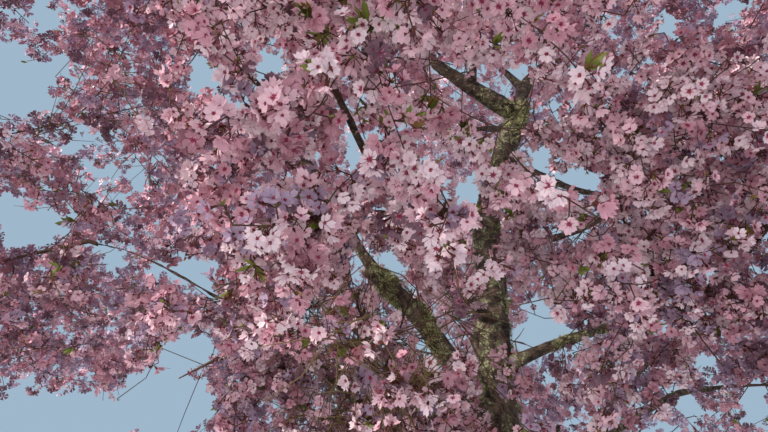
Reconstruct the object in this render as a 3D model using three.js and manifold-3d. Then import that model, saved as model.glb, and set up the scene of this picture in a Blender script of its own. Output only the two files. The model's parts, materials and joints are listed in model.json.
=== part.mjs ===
import * as THREE from 'three';
import { mergeVertices } from 'three/addons/utils/BufferGeometryUtils.js';
import Module from 'manifold-3d';

// Flowering cherry, a whole young tree in full bloom.
// Millimetres, +Z up, ground at z = 0, origin under the middle of the trunk.

const wasm = await Module();
wasm.setup();

// sizes that drive the tree
const GAP = 0.3;                  // clear space between neighbouring bodies
const CELL_MARGIN = 4;            // each mass stays this far inside its own space
const LIMB_MARGIN = 12;           // twigs and blossom keep this far off limbs
const WANDER = 6;                 // degrees a limb swings to and fro
const LIMB_STEPS = 12;            // lengths in a limb's course
const COLLAR = 0.35;              // swelling where a bough leaves its parent
const COLLAR_REACH = 110;
const FLARE = 0.55;               // root flare at the ground
const FLARE_REACH = 170;
const FLARE_LOBES = 5;
const STEM_RADIUS = 20;
const TWIG_BASE = 13;
const TWIG_TIP = 6;
const STEM_LEAD = 60;             // a stem first runs on in line with its bough
const TWIGS = 11;                 // twigs in each mass
const TIP_SPACING = 430;
const OUTER_TWIGS = 9;            // the first twigs reach for the outline
const SLIDE = 0.5;                // how far a twig's foot slides back
const BLOSSOM_RADIUS = 275;       // stands for a spray of blossom
const BLOSSOM_NOTCH = 0.7;
const BLOSSOM_DEPTH = 105;
const BLOSSOM_CUP = 34;
const BLOSSOM_SPACING = 460;
const WHORLS = 3;                 // twigs in a mass with blossom part of the way along too
const WHORL_TILT = 0.3;
const TIP_TILT = 0.7;
const R3 = 1.22074408460575947536;

const bark = new THREE.MeshStandardMaterial({ color: 0x5d4d45, roughness: 0.9, metalness: 0 });
const mossyBark = new THREE.MeshStandardMaterial({ color: 0x6c6a52, roughness: 0.95, metalness: 0 });
const petals = new THREE.MeshStandardMaterial({ color: 0xe0b3c3, roughness: 0.7, metalness: 0 });

// a limb leaves its parent at a share of the parent's length;
// bearing and climb are its first direction, turn and lift how both change along it
const LIMBS = [
  { name: 'trunk', from: null, at: 0, bearing: 168, climb: 81, length: 1510,
    turn: -2, lift: 11, base: 152, tip: 118 },
  { name: 'leader', from: 'trunk', at: 0.96, bearing: -37, climb: 97, length: 3240,
    turn: 19, lift: -30, base: 108, tip: 78 },
  { name: 'bough_left_low', from: 'trunk', at: 0.88, bearing: -130, climb: 65, length: 3220,
    turn: -79, lift: -48, base: 44, tip: 14 },
  { name: 'bough_right_low', from: 'trunk', at: 0.84, bearing: 39, climb: 74, length: 3410,
    turn: -66, lift: -66, base: 50, tip: 15 },
  { name: 'bough_back_low', from: 'trunk', at: 0.95, bearing: 119, climb: 61, length: 2780,
    turn: -18, lift: -47, base: 50, tip: 18 },
  { name: 'bough_back_right', from: 'trunk', at: 0.9, bearing: 63, climb: 51, length: 2770,
    turn: 2, lift: -27, base: 46, tip: 18 },
  { name: 'bough_mossy', from: 'leader', at: 0.3, bearing: -158, climb: 62, length: 1060,
    turn: 13, lift: -37, base: 60, tip: 48 },
  { name: 'bough_right_mid', from: 'leader', at: 0.4, bearing: -19, climb: 8, length: 2090,
    turn: -30, lift: 1, base: 32, tip: 15 },
  { name: 'bough_front', from: 'leader', at: 0.48, bearing: -125, climb: 5, length: 1610,
    turn: 10, lift: 7, base: 26, tip: 14 },
  { name: 'bough_right_high', from: 'leader', at: 0.64, bearing: 7, climb: 4, length: 1610,
    turn: -62, lift: 40, base: 28, tip: 15 },
  { name: 'bough_left_back', from: 'bough_back_low', at: 0.35, bearing: 159, climb: 40, length: 2140,
    turn: -9, lift: -12, base: 32, tip: 15 },
  { name: 'bough_right_back', from: 'bough_right_low', at: 0.38, bearing: 40, climb: 29, length: 1720,
    turn: -23, lift: -12, base: 34, tip: 15 },
  { name: 'bough_left_front', from: 'trunk', at: 0.8, bearing: -160, climb: 12, length: 3000,
    turn: 22, lift: 28, base: 42, tip: 15 },
  { name: 'bough_left_mid', from: 'bough_mossy', at: 0.9, bearing: -154, climb: 49, length: 1250,
    turn: 7, lift: 6, base: 32, tip: 15 },
  { name: 'bough_front_right', from: 'bough_right_mid', at: 0.45, bearing: -84, climb: 4, length: 1150,
    turn: 10, lift: 10, base: 22, tip: 14 },
  { name: 'bough_front_inner', from: 'bough_right_mid', at: 0.24, bearing: -94, climb: -6, length: 620,
    turn: 10, lift: -20, base: 20, tip: 14 },
  { name: 'bough_left_high', from: 'leader', at: 0.7, bearing: 141, climb: 24, length: 1630,
    turn: 22, lift: -2, base: 34, tip: 16 },
  { name: 'bough_back_high', from: 'leader', at: 0.78, bearing: 88, climb: 27, length: 1560,
    turn: 6, lift: -13, base: 36, tip: 17 },
  { name: 'bough_right_rear', from: 'leader', at: 0.84, bearing: 40, climb: 4, length: 1390,
    turn: -12, lift: 20, base: 32, tip: 16 },
  { name: 'fork_left', from: 'leader', at: 0.96, bearing: -156, climb: 18, length: 1130,
    turn: -20, lift: 36, base: 62, tip: 34 },
  { name: 'fork_front', from: 'fork_left', at: 0.35, bearing: -86, climb: 18, length: 880,
    turn: -14, lift: -54, base: 26, tip: 15 },
  { name: 'fork_right', from: 'leader', at: 0.96, bearing: 64, climb: 75, length: 1000,
    turn: -110, lift: -33, base: 58, tip: 28 },
  { name: 'fork_back', from: 'leader', at: 0.92, bearing: 78, climb: 56, length: 1300,
    turn: 34, lift: -21, base: 38, tip: 18 },
  { name: 'fork_top', from: 'fork_right', at: 0.45, bearing: 133, climb: 61, length: 950,
    turn: 25, lift: 19, base: 30, tip: 16 },
  { name: 'sawn_stub', from: 'leader', at: 0.36, bearing: 200, climb: 66, length: 330,
    turn: 0, lift: 8, base: 27, tip: 25 },
  { name: 'bough_inner_low', from: 'bough_left_low', at: 0.36, bearing: -85, climb: 12, length: 420,
    turn: -8, lift: -8, base: 22, tip: 14 },
];

// a mass grows on from its limb's tip and fills its own space round a centre
const MASSES = [
  { name: 'blossom_low_front', on: 'bough_front', centre: [-800, -2020, 2950],
    half: [1250, 1250, 1120] },
  { name: 'blossom_low_front_right', on: 'bough_front_right', centre: [1150, -2300, 3050],
    half: [1250, 1150, 1100] },
  { name: 'blossom_low_inner', on: 'bough_front_inner', centre: [350, -1180, 2680],
    half: [900, 800, 780] },
  { name: 'blossom_low_left_front', on: 'bough_left_front', centre: [-2300, -1500, 3200],
    half: [1300, 1250, 1100] },
  { name: 'blossom_low_left', on: 'bough_left_low', centre: [-2950, -100, 3300],
    half: [1250, 1250, 1150] },
  { name: 'blossom_low_left_back', on: 'bough_left_back', centre: [-2300, 1650, 3350],
    half: [1300, 1250, 1150] },
  { name: 'blossom_low_back', on: 'bough_back_low', centre: [-850, 2650, 3150],
    half: [1250, 1250, 1100] },
  { name: 'blossom_low_back_right', on: 'bough_back_right', centre: [1000, 2600, 3150],
    half: [1250, 1250, 1100] },
  { name: 'blossom_low_right_back', on: 'bough_right_back', centre: [2400, 1400, 3200],
    half: [1300, 1250, 1100] },
  { name: 'blossom_low_right', on: 'bough_right_low', centre: [2900, -250, 3250],
    half: [1250, 1250, 1150] },
  { name: 'blossom_low_right_front', on: 'bough_right_mid', centre: [2200, -1600, 3150],
    half: [1250, 1250, 1100] },
  { name: 'blossom_mid_front', on: 'fork_front', centre: [-200, -1700, 4400],
    half: [1250, 1200, 1000] },
  { name: 'blossom_mid_left', on: 'bough_left_mid', centre: [-1750, -850, 4550],
    half: [1250, 1200, 1050] },
  { name: 'blossom_mid_left_back', on: 'bough_left_high', centre: [-1900, 900, 4600],
    half: [1250, 1250, 1050] },
  { name: 'blossom_mid_back', on: 'bough_back_high', centre: [0, 2000, 4650],
    half: [1250, 1200, 1050] },
  { name: 'blossom_mid_right_back', on: 'bough_right_rear', centre: [1850, 1050, 4650],
    half: [1250, 1250, 1050] },
  { name: 'blossom_mid_right', on: 'bough_right_high', centre: [1750, -900, 4550],
    half: [1250, 1200, 1050] },
  { name: 'blossom_top_left', on: 'fork_left', centre: [-850, -550, 5700],
    half: [1150, 1100, 950] },
  { name: 'blossom_top_right', on: 'fork_right', centre: [1000, -350, 5750],
    half: [1150, 1100, 950] },
  { name: 'blossom_top_back', on: 'fork_back', centre: [100, 1050, 5800],
    half: [1150, 1100, 950] },
  { name: 'blossom_top', on: 'fork_top', centre: [100, 150, 6450],
    half: [850, 850, 620] },
  { name: 'blossom_low_middle', on: 'bough_inner_low', centre: [-680, -900, 2420],
    half: [950, 800, 720] },
];

const rad = THREE.MathUtils.degToRad;

// the course of a limb as points, bending by turn and lift and wandering a little
function course(start, limb, index) {
  const points = [start.clone()];
  for (let i = 0; i < LIMB_STEPS; i += 1) {
    const s = (i + 0.5) / LIMB_STEPS;
    const swing = WANDER * Math.sin(2 * Math.PI * (1.5 * s + 0.37 * index));
    const nod = WANDER * Math.sin(2 * Math.PI * (1.2 * s + 0.61 * index));
    const b = rad(limb.bearing + limb.turn * s + swing);
    const c = rad(limb.climb + limb.lift * s + nod);
    const step = new THREE.Vector3(Math.cos(c) * Math.cos(b), Math.cos(c) * Math.sin(b), Math.sin(c));
    points.push(points[i].clone().addScaledVector(step, limb.length / LIMB_STEPS));
  }
  return points;
}

function pointAt(points, share) {
  const k = share * (points.length - 1);
  const i = Math.min(Math.floor(k), points.length - 2);
  return points[i].clone().lerp(points[i + 1], k - i);
}

// radius along a limb: an even taper with a collar where it leaves its parent
function limbRadius(limb, s) {
  const even = limb.base + (limb.tip - limb.base) * s;
  if (limb.from === null) {
    const neck = THREE.MathUtils.smoothstep(s, 0.72, 1);
    return limb.base + (limb.tip - limb.base) * neck;
  }
  if (limb.from === 'trunk' && limb.base > 90) return even;
  return even * (1 + COLLAR * Math.exp((-s * limb.length) / COLLAR_REACH));
}

// a closed tube of triangles with one ring at each point
function tube(points, radii, sides, level, lobes) {
  const positions = [];
  const faces = [];
  const last = points.length - 1;
  let side = new THREE.Vector3(1, 0, 0);
  points.forEach((point, i) => {
    const ahead = points[Math.min(i + 1, last)].clone().sub(points[Math.max(i - 1, 0)]).normalize();
    const along = level ? new THREE.Vector3(0, 0, 1) : ahead;
    if (i === 0 && Math.abs(along.x) > 0.9) side.set(0, 1, 0);
    side = side.clone().addScaledVector(along, -side.dot(along)).normalize();
    const up = new THREE.Vector3().crossVectors(along, side);
    for (let k = 0; k < sides; k += 1) {
      const a = (2 * Math.PI * k) / sides;
      const r = radii[i] * (1 + (lobes ? lobes(point, a) : 0));
      const out = side.clone().multiplyScalar(Math.cos(a)).addScaledVector(up, Math.sin(a));
      const corner = point.clone().addScaledVector(out, r);
      positions.push(corner.x, corner.y, corner.z);
    }
  });
  for (let i = 0; i < last; i += 1) {
    for (let k = 0; k < sides; k += 1) {
      const a = i * sides + k;
      const b = i * sides + ((k + 1) % sides);
      faces.push(a, b, b + sides, a, b + sides, a + sides);
    }
  }
  for (let k = 1; k < sides - 1; k += 1) {
    faces.push(0, k + 1, k);
    faces.push(last * sides, last * sides + k, last * sides + k + 1);
  }
  return solid(positions, faces);
}

function solid(positions, faces) {
  const mesh = new wasm.Mesh({
    numProp: 3,
    vertProperties: new Float32Array(positions),
    triVerts: new Uint32Array(faces),
  });
  return new wasm.Manifold(mesh);
}

// the largest body alone, without scraps or sealed hollows
function largest(body) {
  const parts = body.decompose();
  return parts.reduce((best, part) => (part.volume() > best.volume() ? part : best), parts[0]);
}

function meshOf(name, body, material) {
  const data = body.getMesh();
  const geometry = new THREE.BufferGeometry();
  const positions = [];
  for (let i = 0; i < data.numVert; i += 1) {
    positions.push(
      data.vertProperties[i * data.numProp],
      data.vertProperties[i * data.numProp + 1],
      data.vertProperties[i * data.numProp + 2],
    );
  }
  geometry.setAttribute('position', new THREE.Float32BufferAttribute(positions, 3));
  geometry.setIndex(Array.from(data.triVerts));
  const mesh = new THREE.Mesh(mergeVertices(geometry, 0.001), material);
  mesh.name = name;
  return mesh;
}

// root flare: wide lobes that die away up the trunk
function flareAt(point, angle) {
  const fade = Math.exp(-point.z / FLARE_REACH);
  return fade * FLARE * (0.72 + 0.28 * Math.cos(FLARE_LOBES * angle + 0.8));
}

function limbSides(limb) {
  if (limb.from === null) return 14;
  if (limb.base > 90) return 10;
  return limb.base > 45 ? 7 : 6;
}

function limbBody(points, limb, extra) {
  const sides = limbSides(limb);
  const grow = extra / Math.cos(Math.PI / sides);
  const every = limb.base > 90 ? 1 : 2;
  const kept = points.map((point, i) => i).filter((i) => i % every === 0);
  const radii = kept.map((i) => limbRadius(limb, i / LIMB_STEPS) + grow);
  const ends = kept.map((i) => points[i].clone());
  if (extra > 0) {
    const last = ends.length - 1;
    ends[last].addScaledVector(ends[last].clone().sub(ends[last - 1]).normalize(), extra);
    ends[0].addScaledVector(ends[0].clone().sub(ends[1]).normalize(), extra);
  }
  const isTrunk = limb.from === null;
  return tube(ends, radii, sides, isTrunk, isTrunk ? flareAt : null);
}

// every limb with its course; later limbs are cut clear of earlier ones
const limbs = new Map();
LIMBS.forEach((limb, index) => {
  const parent = limb.from === null ? null : limbs.get(limb.from);
  const start = parent === null ? new THREE.Vector3() : pointAt(parent.points, limb.at);
  const points = course(start, limb, index);
  let body = limbBody(points, limb, 0);
  limbs.forEach((other) => {
    body = body.subtract(other.wide);
  });
  limbs.set(limb.name, { limb, points, body: largest(body), wide: limbBody(points, limb, GAP) });
});

// distance from a point to a course, less the limb's radius there
function clearOf(place, entry) {
  let best = Infinity;
  const line = new THREE.Line3();
  const foot = new THREE.Vector3();
  for (let i = 0; i < LIMB_STEPS; i += 1) {
    line.set(entry.points[i], entry.points[i + 1]);
    const t = line.closestPointToPointParameter(place, true);
    line.at(t, foot);
    const r = limbRadius(entry.limb, (i + t) / LIMB_STEPS) * (entry.limb.from === null ? 1 + FLARE : 1);
    best = Math.min(best, foot.distanceTo(place) - r);
  }
  return best;
}

const centres = MASSES.map((mass) => new THREE.Vector3(...mass.centre));

// true where a place lies in the mass's own space
function inCell(place, m, reach) {
  const own = centres[m];
  const [hx, hy, hz] = MASSES[m].half;
  const away = place.clone().sub(own);
  const scaled = Math.hypot(away.x / (hx - reach), away.y / (hy - reach), away.z / (hz - reach));
  if (scaled > 1) return false;
  return centres.every((other, i) => {
    if (i === m) return true;
    const line = other.clone().sub(own);
    const half = line.length() / 2;
    return away.dot(line.normalize()) < half - reach - CELL_MARGIN;
  });
}

function clearOfLimbs(place, reach) {
  return [...limbs.values()].every((entry) => clearOf(place, entry) > reach + LIMB_MARGIN);
}

const fraction = (value) => value - Math.floor(value);

// evenly spread places in a mass, the first ones out towards its surface
function spreadPoint(m, k) {
  const n = k + 1 + 37 * m;
  const u = fraction(0.5 + n / R3);
  const v = fraction(0.5 + n / (R3 * R3));
  const w = fraction(0.5 + n / (R3 * R3 * R3));
  const z = 1 - 2 * v;
  const across = Math.sqrt(1 - z * z);
  const rho = k < 4 * OUTER_TWIGS ? 0.72 + 0.28 * w : Math.cbrt(w);
  const [hx, hy, hz] = MASSES[m].half;
  return new THREE.Vector3(
    hx * rho * across * Math.cos(2 * Math.PI * u),
    hy * rho * across * Math.sin(2 * Math.PI * u),
    hz * rho * z,
  ).add(centres[m]);
}

// the foot of a new twig: the nearest place on the twigs so far, slid back towards their root
function footFor(place, twigs) {
  let best = null;
  const line = new THREE.Line3();
  twigs.forEach((twig, index) => {
    line.set(twig.foot, twig.tip);
    const t = line.closestPointToPointParameter(place, true);
    const far = line.at(t, new THREE.Vector3()).distanceTo(place);
    if (best === null || far < best.far) best = { far, t, index };
  });
  const twig = twigs[best.index];
  const length = twig.foot.distanceTo(twig.tip);
  const least = best.index === 0 ? 0.35 : 0.12;
  const share = Math.min(0.8, Math.max(least, best.t - (SLIDE * best.far) / length));
  return {
    point: twig.foot.clone().lerp(twig.tip, share),
    radius: twig.base + (twig.end - twig.base) * share,
  };
}

function twigIsFree(foot, tip, m, radius) {
  for (let i = 1; i <= 12; i += 1) {
    const place = foot.clone().lerp(tip, i / 12);
    if (!inCell(place, m, radius)) return false;
    if (!clearOfLimbs(place, radius)) return false;
  }
  return true;
}

function twigsOf(m) {
  const entry = limbs.get(MASSES[m].on);
  const last = entry.points[LIMB_STEPS];
  const ahead = last.clone().sub(entry.points[LIMB_STEPS - 2]).normalize();
  const root = last.clone().addScaledVector(ahead, GAP);
  const foot = root.clone().addScaledVector(ahead, STEM_LEAD);
  const base = Math.min(STEM_RADIUS, entry.limb.tip * 0.95);
  const stem = { root, foot, tip: centres[m].clone(), base, end: TWIG_BASE };
  const twigs = [stem];
  for (let k = 0; twigs.length <= TWIGS && k < 900; k += 1) {
    const place = spreadPoint(m, k);
    const from = footFor(place, twigs);
    const thick = Math.min(TWIG_BASE, from.radius * 0.85);
    const room = inCell(place, m, BLOSSOM_RADIUS) && clearOfLimbs(place, BLOSSOM_RADIUS);
    const free = room && twigIsFree(from.point, place, m, thick);
    const apart = twigs.every((twig, i) => i === 0 || twig.tip.distanceTo(place) > TIP_SPACING);
    if (!free || !apart) continue;
    twigs.push({ foot: from.point, tip: place, base: thick, end: Math.min(TWIG_TIP, thick) });
  }
  return twigs;
}

// corners of a ring of any number of sides square to a direction
function ring(place, along, radiusOf, count, spin) {
  const side = new THREE.Vector3(0, 0, 1);
  if (Math.abs(along.z) > 0.8) side.set(1, 0, 0);
  side.addScaledVector(along, -side.dot(along)).normalize();
  const up = new THREE.Vector3().crossVectors(along, side);
  const corners = [];
  for (let k = 0; k < count; k += 1) {
    const a = spin + (2 * Math.PI * k) / count;
    const r = radiusOf(k);
    corners.push(place.clone().addScaledVector(side, r * Math.cos(a)).addScaledVector(up, r * Math.sin(a)));
  }
  return corners;
}

// skins a row of rings, each stitched to the next, into one closed body
function skin(rings) {
  const positions = [];
  const faces = [];
  const starts = [];
  rings.forEach((corners) => {
    starts.push(positions.length / 3);
    corners.forEach((corner) => positions.push(corner.x, corner.y, corner.z));
  });
  for (let j = 1; j < rings.length; j += 1) {
    const [n, m] = [rings[j - 1].length, rings[j].length];
    const [a0, b0] = [starts[j - 1], starts[j]];
    let [a, b] = [0, 0];
    while (a < n || (m > 1 && b < m)) {
      if (m > 1 && (a === n || (b + 1) * n <= (a + 1) * m)) {
        faces.push(a0 + (a % n), b0 + ((b + 1) % m), b0 + b);
        b += 1;
      } else {
        faces.push(a0 + a, a0 + ((a + 1) % n), b0 + (b % m));
        a += 1;
      }
    }
  }
  for (let k = 1; k < rings[0].length - 1; k += 1) faces.push(0, k + 1, k);
  return solid(positions, faces);
}

const petalEdge = (k) => BLOSSOM_RADIUS * (k % 2 === 0 ? 1 : BLOSSOM_NOTCH);

// a twig and its blossom as one body: five notched petals flare from the twig's end,
// and on a long twig from a place part of the way along it
function sprig(twig, m, n) {
  const along = twig.tip.clone().sub(twig.foot);
  const length = along.length();
  along.normalize();
  const turn = 2 * Math.PI * fraction((n + 1) / R3 + 0.29 * m);
  const lean = new THREE.Vector3(Math.cos(turn), Math.sin(turn), -0.5);
  lean.addScaledVector(along, -lean.dot(along));
  const put = (reach) => twig.foot.clone().addScaledVector(along, reach);
  const wood = (reach) => {
    const r = twig.base + ((twig.end - twig.base) * reach) / length;
    return ring(put(reach), along, () => r, 3, turn);
  };
  const rings = [wood(0)];
  twig.whorls.forEach((reach) => {
    const tilt = reach < length ? WHORL_TILT : TIP_TILT;
    const facing = along.clone().addScaledVector(lean, tilt).normalize();
    rings.push(wood(reach - BLOSSOM_DEPTH));
    rings.push(ring(put(reach), facing, petalEdge, 10, turn));
    rings.push(reach < length ? wood(reach - BLOSSOM_CUP) : [put(length - BLOSSOM_CUP)]);
  });
  return skin(rings);
}

// places for blossom along a twig, measured from its foot
function whorlsOf(twig, m, taken) {
  const length = twig.foot.distanceTo(twig.tip);
  const whorls = [length];
  const middle = length * 0.5;
  const place = twig.foot.clone().lerp(twig.tip, 0.5);
  const spaced = taken.every((other) => other.distanceTo(place) > BLOSSOM_SPACING);
  const own = inCell(place, m, BLOSSOM_RADIUS) && clearOfLimbs(place, BLOSSOM_RADIUS);
  if (spaced && own && middle > 2 * BLOSSOM_DEPTH) {
    whorls.unshift(middle);
    taken.push(place);
  }
  return whorls;
}

function massBody(m) {
  const [stem, ...twigs] = twigsOf(m);
  const parts = [tube([stem.root, stem.foot, stem.tip], [stem.base, stem.base, stem.end], 5, false, null)];
  const taken = twigs.map((twig) => twig.tip);
  const whorlLimit = taken.length + WHORLS;
  twigs.forEach((twig, n) => {
    const length = twig.foot.distanceTo(twig.tip);
    const whorls = taken.length < whorlLimit ? whorlsOf(twig, m, taken) : [length];
    parts.push(sprig({ ...twig, whorls }, m, n));
  });
  return largest(wasm.Manifold.union(parts));
}

const tree = new THREE.Group();
tree.name = 'cherry_tree';
limbs.forEach((entry, name) => {
  const mossy = name === 'bough_mossy' || name === 'bough_right_mid';
  tree.add(meshOf(name, entry.body, mossy ? mossyBark : bark));
});
MASSES.forEach((mass, m) => tree.add(meshOf(mass.name, massBody(m), petals)));

export default tree;
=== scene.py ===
import json
import math

import bpy
import numpy as np
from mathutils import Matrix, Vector

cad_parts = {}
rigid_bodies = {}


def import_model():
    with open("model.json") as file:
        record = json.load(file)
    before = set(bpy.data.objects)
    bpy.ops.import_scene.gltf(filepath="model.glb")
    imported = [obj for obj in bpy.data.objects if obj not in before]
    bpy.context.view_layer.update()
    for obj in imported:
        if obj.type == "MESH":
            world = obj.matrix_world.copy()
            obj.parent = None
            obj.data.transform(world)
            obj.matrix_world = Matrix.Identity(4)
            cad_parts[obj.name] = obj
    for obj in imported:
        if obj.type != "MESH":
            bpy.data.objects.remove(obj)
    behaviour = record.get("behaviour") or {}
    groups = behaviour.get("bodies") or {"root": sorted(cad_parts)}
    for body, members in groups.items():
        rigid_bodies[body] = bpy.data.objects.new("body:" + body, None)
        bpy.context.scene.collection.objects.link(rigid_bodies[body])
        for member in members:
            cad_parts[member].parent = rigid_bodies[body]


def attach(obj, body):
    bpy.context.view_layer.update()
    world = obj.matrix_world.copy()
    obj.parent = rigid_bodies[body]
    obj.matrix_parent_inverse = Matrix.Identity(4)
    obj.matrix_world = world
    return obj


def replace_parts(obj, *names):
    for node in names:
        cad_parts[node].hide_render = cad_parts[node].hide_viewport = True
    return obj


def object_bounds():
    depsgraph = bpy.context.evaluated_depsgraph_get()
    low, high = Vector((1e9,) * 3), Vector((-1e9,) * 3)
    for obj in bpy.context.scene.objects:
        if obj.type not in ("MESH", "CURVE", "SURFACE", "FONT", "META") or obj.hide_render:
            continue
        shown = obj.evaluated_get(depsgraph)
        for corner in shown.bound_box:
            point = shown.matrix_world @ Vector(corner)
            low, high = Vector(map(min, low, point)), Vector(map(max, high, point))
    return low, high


# Flowering cherry in full bloom. Metres, +Z up, the trunk's cut at z = 0.
# Limbs and masses have the same sizes and the same growing rule as the solids.
# Here the rule runs on to finer twigs, and sprays of small flowers take the place of large blossom.

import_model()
cadLow, cadHigh = [np.array(corner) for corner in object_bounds()]
rng = np.random.default_rng(41)

# the photograph's camera
camera = {
    "eye": (-0.62, -2.75, 1.60),
    "pitch": 38.0,  # degrees above the horizon, looking along +Y
    "lens": 26.0,
    "sensor": 36.0,
    "wide": 768,
    "high": 432,
    "nearFrame": 20,  # pixels outside the frame that still count as shown, for twigs
    "closeFrame": 65,  # the same for what could stand too near
    "leastDepth": 1e-4,
    "clip": (0.05, 300),
}
eye = np.array(camera["eye"])
pitch = math.radians(camera["pitch"])
pixelsPerUnit = camera["lens"] / camera["sensor"] * camera["wide"]
midColumn, midRow = camera["wide"] / 2, camera["high"] / 2
leastAway = 0.3  # nearest depth that a size in pixels is worked out for
lookAlong = np.array([0.0, math.cos(pitch), math.sin(pitch)])
lookUp = np.array([0.0, -math.sin(pitch), math.cos(pitch)])


def toPixels(places):  # picture column, row and depth of many places
    away = places - eye
    depth = away @ lookAlong
    safe = np.where(np.abs(depth) < camera["leastDepth"], camera["leastDepth"], depth)
    column = midColumn + pixelsPerUnit * away[:, 0] / safe
    row = midRow - pixelsPerUnit * (away @ lookUp) / safe
    return column, row, depth


def inPicture(places, margin):
    column, row, depth = toPixels(places)
    across = np.abs(column - midColumn) < midColumn + margin
    return (depth > 0) & across & (np.abs(row - midRow) < midRow + margin)


# limbs, each leaving its parent at a share of the parent's length
limbSizes = {
    "steps": 12,
    "wander": 6.0,  # degrees that a limb sways about its even course
    "swing": (1.5, 0.37),  # sideways waves along a limb, and their start by its number
    "nod": (1.2, 0.61),  # the same up and down
    "collarReach": 0.075,  # length in which the swelling at a limb's foot fades
    "collarShare": 0.8,  # that swelling beside the parent's radius
    "flare": 0.55,  # share by which the roots widen the trunk's foot
    "flareReach": 0.17,
    "lobes": 5,  # of the flare, with an even part, a depth and a turn
    "lobeEven": 0.72,
    "lobeDepth": 0.28,
    "lobeTurn": 0.8,
    "neck": 0.72,  # where the trunk starts to narrow
    "dome": 0.93,  # where the leader rounds off between its forks
    "domeDepth": 0.4,
    "together": 4000,  # places measured against the limbs at one time
}
limbKeys = ("name", "parent", "at", "bearing", "climb", "length", "turn", "lift", "base", "tip")
limbTable = [  # lengths and radii in metres, directions in degrees
    ("trunk", None, 0, 168, 81, 1.51, -2, 11, 0.152, 0.118),
    ("leader", "trunk", 0.96, -37, 97, 3.24, 19, -30, 0.108, 0.078),
    ("bough_left_low", "trunk", 0.88, -130, 65, 3.22, -79, -48, 0.044, 0.014),
    ("bough_right_low", "trunk", 0.84, 39, 74, 3.41, -66, -66, 0.05, 0.015),
    ("bough_back_low", "trunk", 0.95, 119, 61, 2.78, -18, -47, 0.05, 0.018),
    ("bough_back_right", "trunk", 0.9, 63, 51, 2.77, 2, -27, 0.046, 0.018),
    ("bough_mossy", "leader", 0.3, -158, 62, 1.06, 13, -37, 0.06, 0.048),
    ("bough_right_mid", "leader", 0.4, -19, 8, 2.09, -30, 1, 0.032, 0.015),
    ("bough_front", "leader", 0.48, -125, 5, 1.61, 10, 7, 0.026, 0.014),
    ("bough_right_high", "leader", 0.64, 7, 4, 1.61, -62, 40, 0.028, 0.015),
    ("bough_left_back", "bough_back_low", 0.35, 159, 40, 2.14, -9, -12, 0.032, 0.015),
    ("bough_right_back", "bough_right_low", 0.38, 40, 29, 1.72, -23, -12, 0.034, 0.015),
    ("bough_left_front", "trunk", 0.8, -160, 12, 3.0, 22, 28, 0.042, 0.015),
    ("bough_left_mid", "bough_mossy", 0.9, -154, 49, 1.25, 7, 6, 0.032, 0.015),
    ("bough_front_right", "bough_right_mid", 0.45, -84, 4, 1.15, 10, 10, 0.022, 0.014),
    ("bough_front_inner", "bough_right_mid", 0.24, -94, -6, 0.62, 10, -20, 0.02, 0.014),
    ("bough_left_high", "leader", 0.7, 141, 24, 1.63, 22, -2, 0.034, 0.016),
    ("bough_back_high", "leader", 0.78, 88, 27, 1.56, 6, -13, 0.036, 0.017),
    ("bough_right_rear", "leader", 0.84, 40, 4, 1.39, -12, 20, 0.032, 0.016),
    ("fork_left", "leader", 0.96, -156, 18, 1.13, -20, 36, 0.062, 0.034),
    ("fork_front", "fork_left", 0.35, -86, 18, 0.88, -14, -54, 0.026, 0.015),
    ("fork_right", "leader", 0.96, 64, 75, 1.0, -110, -33, 0.058, 0.028),
    ("fork_back", "leader", 0.92, 78, 56, 1.3, 34, -21, 0.038, 0.018),
    ("fork_top", "fork_right", 0.45, 133, 61, 0.95, 25, 19, 0.03, 0.016),
    ("sawn_stub", "leader", 0.36, 200, 66, 0.33, 0, 8, 0.027, 0.025),
    ("bough_inner_low", "bough_left_low", 0.36, -85, 12, 0.42, -8, -8, 0.022, 0.014),
]


def limbCourse(start, limb, index):  # the solid's own course
    points = [start]
    steps = limbSizes["steps"]
    for i in range(steps):
        s = (i + 0.5) / steps
        swing, nod = [limbSizes["wander"] * math.sin(2 * math.pi * (waves * s + start * index))
                      for waves, start in (limbSizes["swing"], limbSizes["nod"])]
        b = math.radians(limb["bearing"] + limb["turn"] * s + swing)
        c = math.radians(limb["climb"] + limb["lift"] * s + nod)
        step = np.array([math.cos(c) * math.cos(b), math.cos(c) * math.sin(b), math.sin(c)])
        points.append(points[-1] + step * limb["length"] / steps)
    return np.array(points)


def between(a, b, share):
    return a + (b - a) * share


def along(points, share):
    k = share * (len(points) - 1)
    i = min(int(k), len(points) - 2)
    return between(points[i], points[i + 1], k - i)


def ease(low, high, value):
    t = np.clip((value - low) / (high - low), 0, 1)
    return t * t * (3 - 2 * t)


def limbRadius(limb, s):  # an even taper, swelling to the parent where the limb leaves it
    if limb["parent"] is None:
        return between(limb["base"], limb["tip"], ease(limbSizes["neck"], 1, s))
    even = between(limb["base"], limb["tip"], s)
    if limb["name"] == "leader":
        return even * (1 - limbSizes["domeDepth"] * ease(limbSizes["dome"], 1, s))
    swelling = max(0.0, limbSizes["collarShare"] * limb["from"] - limb["base"])
    return even + swelling * math.exp(-s * limb["length"] / limbSizes["collarReach"])


limbs = {}
for index, tableRow in enumerate(limbTable):
    limb = dict(zip(limbKeys, tableRow))
    parent = limbs.get(limb["parent"])
    start = np.zeros(3) if parent is None else along(parent["points"], limb["at"])
    limb["from"] = 0 if parent is None else limbRadius(parent, limb["at"])
    limb["points"] = limbCourse(start, limb, index)
    limbs[limb["name"]] = limb

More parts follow.
